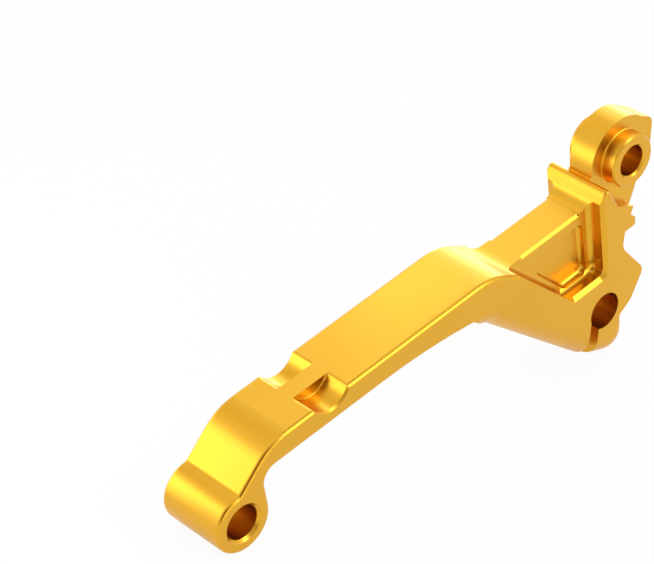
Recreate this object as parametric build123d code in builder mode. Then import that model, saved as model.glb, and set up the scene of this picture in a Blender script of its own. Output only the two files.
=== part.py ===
from build123d import *
import os
from math import asin, atan2, cos, hypot, radians, sin, sqrt, tan

os.makedirs("parts", exist_ok=True)

# Hand lever arm, milled from one block of aluminium. Sizes are in millimetres.
# The side view is drawn with the arm level. Its places are (along, rise): along runs from
# the fold bore towards the pivot, and rise is square to the top of the arm.

# Places closer than this count as the same
tolerance = 0.01

# Widths across the lever
lever_width = 15.0
neck_thickness = 5.6
boss_width = 11.5
notch_web = 3.9

# Eye at the near end, where the folding blade is pinned
eye_radius = 6.15
fold_bore_diameter = 7.0
fold_bore_chamfer = 0.6

# Arm between the eye and the bend
arm_top = 12.7
arm_thickness = 5.2
arm_sag = 2.15
arch_setback = 58.9
arch_straight = 2.5
shoulder_along = 9.0
shoulder_angle = 37.5
shoulder_radius = 12.0
valley_radius = 1.2
throat_radius = 3.0
edge_radius = 0.8

# Notches in both sides of the arm
notch_along = 23.6
notch_radius = 4.8
notch_depth = 2.4
notch_chamfer = 0.4
notch_exit_radius = 0.75
notch_root_radius = 0.25

# Bend, placed back from the pivot
bend_setback = 40.2
bend_radius = 13.0
bend_foot_setback = 33.8
bend_foot_radius = 6.0

# Pivot with its boss and a collar on each side
pivot_along = 105.4
pivot_rise = 13.3
pivot_bore_diameter = 6.3
pivot_bore_chamfer = 0.4
collar_diameter = 11.0
collar_chamfer = 0.3
collar_root_radius = 0.3
boss_radius = 8.4
nose_reach = 9.3
nose_rise = 3.6
nose_radius = 1.8
nose_foot_reach = 8.4
nose_foot_drop = 1.0
nose_top_reach = 3.6
nose_top_rise = 7.5
neck_reach = 4.7
neck_drop = 6.0
neck_waist_reach = 2.8
neck_waist_drop = 10.0
neck_foot_setback = 1.3
neck_foot_drop = 16.5
neck_root_radius = 2.6

# Lip behind the neck and the ledge that the neck stands on
lip_setback = 8.8
lip_radius = 0.8
lip_back_setback = 10.1
lip_back_drop = 1.7
lip_back_radius = 1.4
lip_end_radius = 0.5
lip_foot_setback = 11.65
lip_foot_radius = 3.2
ledge_setback = 6.4
ledge_start_drop = 6.15
ledge_reach = 3.9
ledge_angle = 30.0

# Step and hollow below the ledge
step_setback = 2.3
step_drop = 11.2
step_height = 1.9
step_depth = 3.0
step_rake = 1.1
step_radius = 0.6
hollow_setback = 6.3
hollow_drop = 16.6
hollow_radius = 3.0
spur_setback = 1.0
spur_drop = 25.1
spur_radius = 1.9

# Socket for the cable barrel, with its slot
socket_setback = 12.6
socket_drop = 28.35
socket_diameter = 7.8
slot_width = 2.5
slot_offset = 2.3
slot_lean = 14.8

# Leg and toe around the socket
leg_setback = 46.0
leg_rounding = 4.3
leg_run_out = 3.4
leg_run_out_radius = 7.7
leg_run_out_angle = 15.0
heel_setback = 5.1
heel_drop = 9.45
heel_radius = 12.0
toe_reach = 3.9
toe_drop = 13.85
toe_radius = 4.8
toe_lift_angle = 65.0
toe_back_drop = 3.9
toe_back_radius = 0.8
shelf_setback = 4.2
shelf_drop = 5.25

# Pockets in both sides, each with a shallow recess in its floor
web_drop = 5.0
web_edge_chamfer = 0.5
web_edge_inset = 4.1
web_edge_end = 2.5
pocket_setback = 11.3
pocket_drop = 20.0
pocket_angle = 49.7
pocket_wall_lean = 1.6
pocket_radius = 1.7
pocket_floor_radius = 1.4
front_pocket_depth = 3.6
back_pocket_depth = 3.05
pocket_chamfer = 0.8
recess_depth = 1.0
recess_head = 2.4
recess_inset = 1.9
recess_sill = 0.4
recess_shift = 1.3
recess_angle = 51.0
recess_end_height = 4.3
recess_radius = 1.5
recess_rim = 0.1

pivot = Vector(pivot_along, pivot_rise)
socket = pivot - Vector(socket_setback, socket_drop)
arm_bottom = arm_top - arm_thickness
web_top = pivot_rise - web_drop
notch_middle = Vector(notch_along, arm_top - notch_depth + notch_radius)
notch_mouth = 2 * (notch_radius + 2 * notch_exit_radius)
half_width = lever_width / 2
shoulder = Vector(shoulder_along, arm_top)
ramp_slope = tan(radians(shoulder_angle))
valley = shoulder - Vector((arm_top - eye_radius) / ramp_slope, arm_top - eye_radius)
ramp_end = shoulder - Vector(arm_bottom / ramp_slope, arm_bottom)
arch = Vector(pivot_along - arch_setback, arm_bottom)
leg_top = Vector(pivot_along - leg_setback, arm_bottom - arm_sag)
arch_run = leg_top - arch
arch_turn = atan2(-arch_run.Y, arch_run.X)
arch_radius = (arch_run.length - arch_straight) / tan(arch_turn / 2)
heel = socket + Vector(-heel_setback, -heel_drop)
toe = socket + Vector(toe_reach, -toe_drop)
bend_foot = Vector(pivot_along - bend_foot_setback, web_top)
lip_foot = Vector(pivot_along - lip_foot_setback, web_top)
ledge_start = pivot - Vector(ledge_setback, ledge_start_drop)
ledge_fall = ledge_reach * tan(radians(ledge_angle))
ledge_end = ledge_start + Vector(ledge_reach, -ledge_fall)
step_top = pivot - Vector(step_setback, step_drop)
hollow = pivot - Vector(hollow_setback, hollow_drop)
spur = pivot - Vector(spur_setback, spur_drop)

# The lever stands on its eye and its rounded toe, with the pivot at the origin
sole_dir = (toe - heel).normalized()
sole_angle = atan2(sole_dir.Y, sole_dir.X)
toe_lift = radians(toe_lift_angle)
lift_dir = Vector(cos(toe_lift), sin(toe_lift))
toe_tangent = toe_radius * tan((toe_lift - sole_angle) / 2)
toe_middle = toe - sole_dir * toe_tangent + Vector(-sole_dir.Y, sole_dir.X) * toe_radius
toe_span = hypot(toe_middle.X, toe_middle.Y)
tilt = -atan2(toe_middle.Y, toe_middle.X) - asin((eye_radius - toe_radius) / toe_span)
along_dir = Vector(cos(tilt), 0, sin(tilt))
rise_dir = Vector(-sin(tilt), 0, cos(tilt))
side = Plane(
    origin=-(along_dir * pivot.X + rise_dir * pivot.Y), x_dir=along_dir, z_dir=(0, -1, 0)
)

# Outlines in the side view, each a list of corners with the radius at the corner
body_outline = [
    (Vector(0, 0), 0),
    (Vector(eye_radius, 0), 0),
    (Vector(eye_radius, arm_bottom), throat_radius),
    (arch, arch_radius),
    (leg_top, 0),
    (heel, heel_radius),
    (toe, 0),
    (socket + Vector(toe_reach, -toe_back_drop), toe_back_radius),
    (spur - Vector(shelf_setback, shelf_drop), spur_radius),
    (spur, spur_radius),
    (hollow, hollow_radius),
    (step_top - Vector(step_depth, step_height), step_radius),
    (step_top - Vector(0, step_height), step_radius),
    (step_top, step_radius),
    (step_top + Vector(-step_rake, step_rake), 0),
    (ledge_end, 0),
    (ledge_start, 0),
    (pivot - Vector(lip_setback, 0), lip_radius),
    (pivot - Vector(lip_back_setback, lip_back_drop), lip_back_radius),
    (lip_foot, lip_foot_radius),
    (bend_foot, bend_foot_radius),
    (Vector(pivot_along - bend_setback, arm_top), bend_radius),
    (shoulder, shoulder_radius),
    (ramp_end, 0),
]

# The leg is rounded to a form that comes in under the arm, turns down the leg and lifts
# off past the toe
leg_line = (heel - leg_top).normalized()
run_out = leg_top + leg_line * leg_run_out
run_in = radians(leg_run_out_angle)
form_start = run_out - Vector(cos(run_in), sin(run_in)) * pivot_along
form_end = toe + lift_dir * pivot_along
form_outline = [
    (form_start, 0),
    (run_out, leg_run_out_radius),
    (heel, heel_radius),
    (toe, toe_radius),
    (form_end, 0),
    (Vector(form_end.X, pivot_along), 0),
    (Vector(form_start.X, pivot_along), 0),
]
toe_face_top = socket.Y - toe_back_drop - toe_back_radius
cutter_outline = [
    (Vector(0, web_top), 0),
    (Vector(0, -pivot_along), 0),
    (Vector(pivot_along, -pivot_along), 0),
    (Vector(pivot_along, toe_face_top), 0),
    (Vector(socket.X, toe_face_top), 0),
    (Vector(socket.X, web_top), 0),
]

neck_outline = [
    (pivot - Vector(lip_setback, 0), 0),
    (pivot - Vector(lip_setback, neck_foot_drop), 0),
    (pivot - Vector(neck_foot_setback, neck_foot_drop), 0),
    (pivot + Vector(neck_waist_reach, -neck_waist_drop), 0),
    (pivot + Vector(neck_reach, -neck_drop), 0),
    (pivot + Vector(boss_radius, 0), 0),
]
nose_outline = [
    (pivot, 0),
    (pivot + Vector(nose_foot_reach, -nose_foot_drop), 0),
    (pivot + Vector(nose_reach, nose_rise), nose_radius),
    (pivot + Vector(nose_top_reach, nose_top_rise), 0),
]

slot_lean_angle = radians(slot_lean)
slot_dir = Vector(-sin(slot_lean_angle), -cos(slot_lean_angle))
slot_side = Vector(-cos(slot_lean_angle), sin(slot_lean_angle))
slot_middle = socket + slot_side * slot_offset + slot_dir * (toe_drop / 2)

front_floor = half_width - front_pocket_depth
back_floor = half_width - back_pocket_depth
pocket_wall = pivot_along - pocket_setback
pocket_floor = pivot_rise - pocket_drop
pocket_slope = tan(radians(pocket_angle))
pocket_toe = bend_foot + Vector((web_top - pocket_floor) / pocket_slope, pocket_floor - web_top)
pocket_head = bend_foot + Vector(-pocket_drop / pocket_slope, pocket_drop)
wall_shift = (pocket_head.Y - pocket_floor) * tan(radians(pocket_wall_lean))
pocket_outline = [
    (pocket_toe, 0),
    (Vector(pocket_wall, pocket_floor), pocket_radius),
    (Vector(pocket_wall + wall_shift, pocket_head.Y), 0),
    (pocket_head, 0),
]
rim_toe = pocket_toe + Vector(pocket_chamfer / pocket_slope, -pocket_chamfer)
rim_wall = pocket_wall + pocket_chamfer
rim_outline = [
    (rim_toe, 0),
    (Vector(rim_wall, rim_toe.Y), pocket_radius + pocket_chamfer),
    (Vector(rim_wall + wall_shift, pocket_head.Y), 0),
    (pocket_head, 0),
]

recess_wall = pocket_wall - recess_inset
recess_bottom = pocket_floor + recess_sill
recess_top = web_top - recess_head
recess_toe = Vector(pocket_toe.X + recess_shift, recess_bottom)
recess_shoulder = recess_top - recess_end_height
recess_lean = (recess_shoulder - recess_bottom) / tan(radians(recess_angle))
recess_end = recess_toe.X - recess_lean
recess_floor_radius = recess_depth - recess_rim
recess_outline = [
    (recess_toe, recess_radius),
    (Vector(recess_wall, recess_bottom), recess_radius),
    (Vector(recess_wall, recess_top), recess_radius),
    (Vector(recess_end, recess_top), recess_radius),
    (Vector(recess_end, recess_shoulder), recess_radius),
]
web_edge_start = bend_foot + Vector(web_edge_inset, 0)
web_end = Plane(
    origin=side.from_local_coords(web_edge_start), x_dir=(0, 1, 0), z_dir=along_dir
)


def corners(outline):
    return FilletPolyline(
        *[point for point, radius in outline],
        radius=[radius for point, radius in outline],
        close=True,
    )


def place(shape):
    return side.to_local_coords(shape.center())


with BuildPart() as leg_form:
    with BuildSketch(side):
        with BuildLine():
            corners(form_outline)
        make_face()
    extrude(amount=half_width, both=True)
    rims = leg_form.faces().filter_by(Axis.Y).edges()
    fillet(rims.filter_by(GeomType.CIRCLE), leg_rounding)

with BuildPart() as leg_cutter:
    with BuildSketch(side):
        with BuildLine():
            corners(cutter_outline)
        make_face()
    extrude(amount=half_width, both=True)
    add(leg_form.part, mode=Mode.SUBTRACT)

with BuildPart() as notch_tool:
    with BuildSketch(side.offset(notch_web / 2)) as notch:
        with Locations(notch_middle):
            Circle(notch_radius)
        with Locations((notch_along, arm_top)):
            Rectangle(notch_mouth, 2 * notch_radius, align=(Align.CENTER, Align.MIN))
        fillet(notch.vertices().sort_by_distance(notch_middle)[0:2], notch_exit_radius)
    extrude(amount=lever_width)
    fillet(notch_tool.faces().sort_by(Axis.Y)[-1].edges(), notch_root_radius)

with BuildPart() as lever_arm:
    with BuildSketch(side) as body:
        with BuildLine():
            corners(body_outline)
        make_face()
        Circle(eye_radius)
        fillet(body.vertices().sort_by_distance(valley)[0], valley_radius)
    extrude(amount=half_width, both=True)

    # Neck and boss plate, with the collars
    with BuildSketch(side):
        with BuildLine():
            corners(neck_outline)
        make_face()
        with BuildLine():
            corners(nose_outline)
        make_face()
        with Locations(pivot):
            Circle(boss_radius)
    extrude(amount=neck_thickness / 2, both=True)
    ledge_middle = side.from_local_coords((ledge_start + ledge_end) * 0.5)
    fillet(lever_arm.edges().sort_by_distance(ledge_middle)[0:2], neck_root_radius)

    # Side pockets and the recesses in their floors
    for face, floor in ((1, front_floor), (-1, back_floor)):
        with BuildSketch(side.offset(face * floor)):
            with BuildLine():
                corners(pocket_outline)
            make_face()
        extrude(amount=face * lever_width, mode=Mode.SUBTRACT)
        floor_rims = lever_arm.edges().filter_by(
            lambda edge: abs(edge.center().Y + face * floor) < tolerance
            and place(edge).X > bend_foot.X
            and place(edge).Y < web_top - pocket_floor_radius
        )
        fillet(floor_rims, pocket_floor_radius)
        with BuildSketch(side.offset(face * half_width)):
            with BuildLine():
                corners(rim_outline)
            make_face()
        extrude(amount=-face * pocket_chamfer, taper=45, mode=Mode.SUBTRACT)
        with BuildSketch(side.offset(face * (floor - recess_depth))):
            with BuildLine():
                corners(recess_outline)
            make_face()
        extrude(amount=face * lever_width, mode=Mode.SUBTRACT)
        recess_rims = lever_arm.edges().filter_by(
            lambda edge: abs(edge.center().Y + face * (floor - recess_depth)) < tolerance
        )
        fillet(recess_rims, recess_floor_radius)

    with BuildSketch(web_end):
        with Locations((-front_floor, 0), (back_floor, 0)):
            Rectangle(web_edge_chamfer * sqrt(2), web_edge_chamfer * sqrt(2), rotation=45)
    extrude(amount=pocket_wall - web_edge_end - web_edge_start.X, mode=Mode.SUBTRACT)

    # Rounded edges of the arm, from the pocket round the eye to the leg
    rims = lever_arm.faces().filter_by(Axis.Y).edges()
    rims = rims.filter_by(lambda edge: abs(abs(edge.center().Y) - half_width) < tolerance)
    arm_rims = rims.filter_by(
        lambda edge: place(edge).X < bend_foot.X
        and (place(edge).Y > bend_foot.Y or place(edge).X < leg_top.X)
    )
    fillet(arm_rims, edge_radius)
    lip_rims = rims.filter_by(
        lambda edge: place(edge).X > lip_foot.X and place(edge).Y > ledge_start.Y
    )
    fillet(lip_rims, lip_end_radius)
    add(leg_cutter.part, mode=Mode.SUBTRACT)

    # Notches, with a small chamfer at the face
    add(notch_tool.part, mode=Mode.SUBTRACT)
    add(mirror(notch_tool.part, about=Plane.XZ), mode=Mode.SUBTRACT)
    for face in (1, -1):
        with BuildSketch(side.offset(face * half_width)):
            with Locations(notch_middle):
                Circle(notch_radius + notch_chamfer)
        extrude(amount=-face * notch_chamfer, taper=45, mode=Mode.SUBTRACT)

    # Collars
    with BuildSketch(side):
        with Locations(pivot):
            Circle(collar_diameter / 2)
    extrude(amount=boss_width / 2, both=True)
    collar_rims = lever_arm.edges().filter_by(GeomType.CIRCLE).filter_by(
        lambda edge: abs(edge.radius - collar_diameter / 2) < tolerance
    )
    collar_rims = collar_rims.group_by(lambda edge: abs(edge.center().Y))
    chamfer(collar_rims[-1], collar_chamfer)
    fillet(collar_rims[0], collar_root_radius)

    # Bores and the slot of the socket
    with BuildSketch(side):
        Circle(fold_bore_diameter / 2)
        with Locations(pivot):
            Circle(pivot_bore_diameter / 2)
        with Locations(socket):
            Circle(socket_diameter / 2)
        with Locations(Location(slot_middle, -slot_lean)):
            Rectangle(slot_width, toe_drop)
    extrude(amount=lever_width, both=True, mode=Mode.SUBTRACT)
    bore_rims = lever_arm.edges().filter_by(GeomType.CIRCLE)
    fold_rims = bore_rims.filter_by(lambda edge: abs(edge.radius - fold_bore_diameter / 2) < tolerance)
    pivot_rims = bore_rims.filter_by(lambda edge: abs(edge.radius - pivot_bore_diameter / 2) < tolerance)
    chamfer(fold_rims, fold_bore_chamfer)
    chamfer(pivot_rims, pivot_bore_chamfer)

lever_arm.part.label = "lever_arm"
export_step(lever_arm.part, "parts/lever_arm.step")
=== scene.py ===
import math

import bpy
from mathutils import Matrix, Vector


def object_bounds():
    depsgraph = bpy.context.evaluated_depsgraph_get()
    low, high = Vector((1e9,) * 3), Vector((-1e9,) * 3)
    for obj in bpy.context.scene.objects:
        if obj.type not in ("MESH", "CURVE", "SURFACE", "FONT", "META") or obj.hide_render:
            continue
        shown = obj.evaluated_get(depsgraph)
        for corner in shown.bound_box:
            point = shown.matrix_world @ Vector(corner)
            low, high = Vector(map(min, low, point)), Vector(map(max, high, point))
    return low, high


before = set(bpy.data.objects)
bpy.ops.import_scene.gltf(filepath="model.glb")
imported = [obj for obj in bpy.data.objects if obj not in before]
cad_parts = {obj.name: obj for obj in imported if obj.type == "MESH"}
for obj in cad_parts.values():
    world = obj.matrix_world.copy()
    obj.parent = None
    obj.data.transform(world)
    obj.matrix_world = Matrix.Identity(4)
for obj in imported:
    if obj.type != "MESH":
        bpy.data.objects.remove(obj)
cad_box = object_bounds()
scene = bpy.context.scene
scene.view_settings.view_transform = "Standard"

# Colours are linear. The gold is the dyed oxide over aluminium.
GOLD = (0.82, 0.445, 0.036, 1)
GOLD_DEEP = (0.78, 0.41, 0.028, 1)
# Painted shade: the darker base colour on the walls of the bores
BORE_PAINTED_SHADE = (0.58, 0.27, 0.012, 1)
WHITE = (1, 1, 1, 1)
FLOOR_WHITE = (0.9, 0.9, 0.9, 1)

# The dye's clouds and the etched grain, as noise scales per metre
CLOUD_SCALE = 70
GRAIN_SCALE = 6000
GRAIN_ROUGHNESS = (0.26, 0.34)
GRAIN_STRENGTH = 0.05
GRAIN_HEIGHT = 0.00002

# Bores in object space: middle along X and Z, and radius
BORES = (((0, 0), 0.00315), ((-0.09998, -0.03592), 0.0035), ((-0.00613, -0.03041), 0.0039))
BORE_MARGIN = 0.00005

# Ripples that the cutter left beside the arm's top edge, on the near side. Each fade is a
# direction, the place along it where the ripples end, and the place where they are full.
ALONG = (0.97602, 0, 0.21768)
RISE = (-0.21768, 0, 0.97602)
NEAR = (0, -1, 0)
RIPPLE_PITCH = 0.00055
RIPPLE_STRENGTH = 0.6
RIPPLE_HEIGHT = 0.00003
RIPPLE_FADES = (
    (ALONG, -0.080, -0.070),
    (ALONG, -0.038, -0.046),
    (RISE, -0.0009, -0.0007),
    (NEAR, 0.0058, 0.0062),
)

# How far the floor shows as plain white to each kind of ray
FLOOR_GLOW = (("Is Camera Ray", 0.94), ("Is Glossy Ray", 0.6))
FLOOR_SIZE = 6

# The surroundings: an even level, and patches of (direction, angle in degrees at which the
# patch is full, angle at which it ends, colour that it adds)
SKY_LEVEL = (0.97, 0.97, 0.97)
SKY_PATCHES = (
    ((0.27, -0.12, 0.955), 4, 14, (-0.65, -0.75, -0.85)),
    ((-0.68, -0.45, 0.58), 17, 31, (-0.75, -0.86, -0.9)),
    ((-0.1, 0.61, 0.77), 4, 16, (-0.02, -0.12, -0.4)),
    ((0.42, -0.87, 0.25), 6, 15, (2.4, 2.4, 2.4)),
    ((0.37, -0.78, 0.5), 6, 15, (2, 2, 2)),
    ((0.32, -0.64, 0.7), 6, 13, (2, 2.1, 3)),
    ((-0.15, -0.79, 0.6), 8, 17, (-0.45, -0.5, -0.55)),
    ((-0.6, -0.78, 0.14), 8, 18, (-0.55, -0.62, -0.7)),
    ((0.6, 0.61, 0.5), 3, 28, (0.7, 0.8, 0.95)),
)

# Lamps: name, place faced, direction of the lamp from there, distance, width, height and
# brightness
SOFTBOXES = (
    ("softbox_back_right", (-0.05, 0, -0.02), (0.79, 0.61, 0.12), 0.9, 0.5, 0.4, 2.2),
    ("softbox_front_left", (-0.05, 0, -0.02), (-0.25, -0.96, 0.1), 0.9, 0.5, 0.25, 1.0),
    ("softbox_bend", (-0.046, 0.008, -0.0105), (0.324, 0.577, 0.749), 0.1, 0.03, 0.02, 0.9),
    ("softbox_lip", (-0.01, 0, 0), (-0.82, 0.57, -0.02), 0.15, 0.1, 0.076, 1.3),
    ("softbox_ramp", (-0.099, 0, -0.032), (-0.7, 0.6, 0.39), 0.12, 0.05, 0.05, 0.6),
)

# Camera, with its turns in degrees and its lens in millimetres
CAMERA_PLACE = (-0.35401, -0.28729, 0.24869)
CAMERA_TURNS = (58.185, -1.724, -43.140)
CAMERA_LENS = 147.95
CAMERA_SENSOR = 36
CAMERA_CLIP = 0.01


def new_nodes(owner):
    owner.use_nodes = True
    tree = owner.node_tree
    tree.nodes.clear()
    return tree


def add_node(tree, kind, inputs=None, **settings):
    """Add a node. Each of its inputs is given a value, or the output that feeds it."""
    node = tree.nodes.new(kind)
    for name, value in settings.items():
        setattr(node, name, value)
    for name, value in (inputs or {}).items():
        if isinstance(value, bpy.types.NodeSocket):
            tree.links.new(value, node.inputs[name])
        else:
            node.inputs[name].default_value = value
    return node


def number(tree, operation, *values):
    """The result of a math node."""
    node = add_node(tree, "ShaderNodeMath", dict(enumerate(values)), operation=operation)
    return node.outputs["Value"]


def measure(tree, operation, *vectors):
    """The number that a vector math node makes of its vectors."""
    node = add_node(tree, "ShaderNodeVectorMath", dict(enumerate(vectors)), operation=operation)
    return node.outputs["Value"]


def vector(tree, operation, *vectors):
    """The vector that a vector math node makes of its vectors."""
    node = add_node(tree, "ShaderNodeVectorMath", dict(enumerate(vectors)), operation=operation)
    return node.outputs["Vector"]


def fade(tree, value, start, full):
    """Smooth rise from 0 where the value is start to 1 where it is full."""
    limits = {"Value": value, "From Min": start, "From Max": full}
    node = add_node(tree, "ShaderNodeMapRange", limits, interpolation_type="SMOOTHSTEP")
    return node.outputs["Result"]


def mixed(tree, share, first, second):
    """Mix of two colours."""
    colours = {"Factor": share, "A": first, "B": second}
    return add_node(tree, "ShaderNodeMix", colours, data_type="RGBA").outputs["Result"]


def noise(tree, place, scale, detail):
    pattern = {"Vector": place, "Scale": scale, "Detail": detail}
    return add_node(tree, "ShaderNodeTexNoise", pattern).outputs["Fac"]


def anodised_gold():
    """Satin gold anodised aluminium with a fine grain, faint cutter ripples and painted shade in the
    bores.
    """
    material = bpy.data.materials.new("anodised_gold")
    tree = new_nodes(material)
    place = add_node(tree, "ShaderNodeTexCoord").outputs["Object"]

    # The dye takes a little unevenly, in clouds of a centimetre or two
    dye = mixed(tree, noise(tree, place, CLOUD_SCALE, 2), GOLD, GOLD_DEEP)

    # Walls of the bores, reamed. Their darker base colour is painted shade, standing in for the shade
    # deep inside them
    flat = vector(tree, "MULTIPLY", place, (1, 0, 1))
    bore_painted_shade_mask = 0
    for (x, z), radius in BORES:
        away = measure(tree, "DISTANCE", flat, (x, 0, z))
        within = number(tree, "LESS_THAN", away, radius + BORE_MARGIN)
        bore_painted_shade_mask = number(tree, "MAXIMUM", bore_painted_shade_mask, within)

    # Satin grain of the etched surface
    grain = noise(tree, place, GRAIN_SCALE, 3)
    low, high = GRAIN_ROUGHNESS
    rough = add_node(tree, "ShaderNodeMapRange", {"Value": grain, "To Min": low, "To Max": high})
    bump = add_node(
        tree,
        "ShaderNodeBump",
        {"Strength": GRAIN_STRENGTH, "Distance": GRAIN_HEIGHT, "Height": grain},
    )

    # Ripples, as a wave that fades out around its strip
    turn = number(tree, "MULTIPLY", measure(tree, "DOT_PRODUCT", place, ALONG), math.tau / RIPPLE_PITCH)
    height = number(tree, "SINE", turn)
    for direction, start, full in RIPPLE_FADES:
        share = fade(tree, measure(tree, "DOT_PRODUCT", place, direction), start, full)
        height = number(tree, "MULTIPLY", height, share)
    ripple = add_node(
        tree,
        "ShaderNodeBump",
        {
            "Strength": RIPPLE_STRENGTH,
            "Distance": RIPPLE_HEIGHT,
            "Height": height,
            "Normal": bump.outputs["Normal"],
        },
    )

    # The base colour takes the painted shade on the bore walls
    metal = add_node(
        tree,
        "ShaderNodeBsdfPrincipled",
        {
            "Base Color": mixed(tree, bore_painted_shade_mask, dye, BORE_PAINTED_SHADE),
            "Metallic": 1,
            "Roughness": rough.outputs["Result"],
            "Coat Weight": 0.06,
            "Coat Roughness": 0.3,
            "Coat IOR": 1.6,
            "Normal": ripple.outputs["Normal"],
        },
    )
    add_node(tree, "ShaderNodeOutputMaterial", {"Surface": metal.outputs["BSDF"]})
    return material


def floor_paint():
    """White floor that shows as plain white and keeps a soft shadow."""
    material = bpy.data.materials.new("white_floor")
    tree = new_nodes(material)
    matt = add_node(tree, "ShaderNodeBsdfDiffuse", {"Color": FLOOR_WHITE})
    glow = add_node(tree, "ShaderNodeEmission", {"Color": WHITE, "Strength": 1})
    ray = add_node(tree, "ShaderNodeLightPath")
    share = 0
    for kind, part in FLOOR_GLOW:
        share = number(tree, "MULTIPLY_ADD", ray.outputs[kind], part, share)
    mix = add_node(
        tree,
        "ShaderNodeMixShader",
        {"Fac": share, 1: matt.outputs["BSDF"], 2: glow.outputs["Emission"]},
    )
    add_node(tree, "ShaderNodeOutputMaterial", {"Surface": mix.outputs["Shader"]})
    return material


def studio_world():
    """White surroundings, with brighter and darker patches in some directions."""
    world = bpy.data.worlds.new("studio")
    tree = new_nodes(world)
    place = add_node(tree, "ShaderNodeTexCoord").outputs["Generated"]
    level = SKY_LEVEL
    for direction, core, edge, colour in SKY_PATCHES:
        near = measure(tree, "DOT_PRODUCT", place, Vector(direction).normalized())
        patch = fade(tree, near, math.cos(math.radians(edge)), math.cos(math.radians(core)))
        level = vector(tree, "MULTIPLY_ADD", patch, colour, level)
    sky = add_node(tree, "ShaderNodeBackground", {"Color": level, "Strength": 1})
    add_node(tree, "ShaderNodeOutputWorld", {"Surface": sky.outputs["Background"]})
    return world


def add_softbox(name, middle, direction, distance, width, height, brightness):
    """A rectangular lamp that faces the middle. Its power grows with its area, so that
    brightness alone sets how bright it looks."""
    lamp = bpy.data.lights.new(name, "AREA")
    lamp.shape = "RECTANGLE"
    lamp.size = width
    lamp.size_y = height
    lamp.energy = brightness * math.pi * width * height
    holder = bpy.data.objects.new(name, lamp)
    scene.collection.objects.link(holder)
    aim = Vector(direction).normalized()
    holder.location = Vector(middle) + aim * distance
    holder.rotation_euler = aim.to_track_quat("Z", "Y").to_euler()
    holder.visible_camera = False


def add_camera():
    lens = bpy.data.cameras.new("camera")
    lens.sensor_width = CAMERA_SENSOR
    lens.lens = CAMERA_LENS
    lens.clip_start = CAMERA_CLIP
    camera = bpy.data.objects.new("camera", lens)
    scene.collection.objects.link(camera)
    camera.location = CAMERA_PLACE
    camera.rotation_euler = [math.radians(turn) for turn in CAMERA_TURNS]
    return camera


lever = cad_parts["lever_arm"]
lever.data.materials.clear()
lever.data.materials.append(anodised_gold())

bpy.ops.mesh.primitive_plane_add(size=FLOOR_SIZE, location=(0, 0, cad_box[0][2]))
floor = bpy.context.object
floor.name = "floor"
floor.data.materials.append(floor_paint())

scene.world = studio_world()
for softbox in SOFTBOXES:
    add_softbox(*softbox)
scene.camera = add_camera()
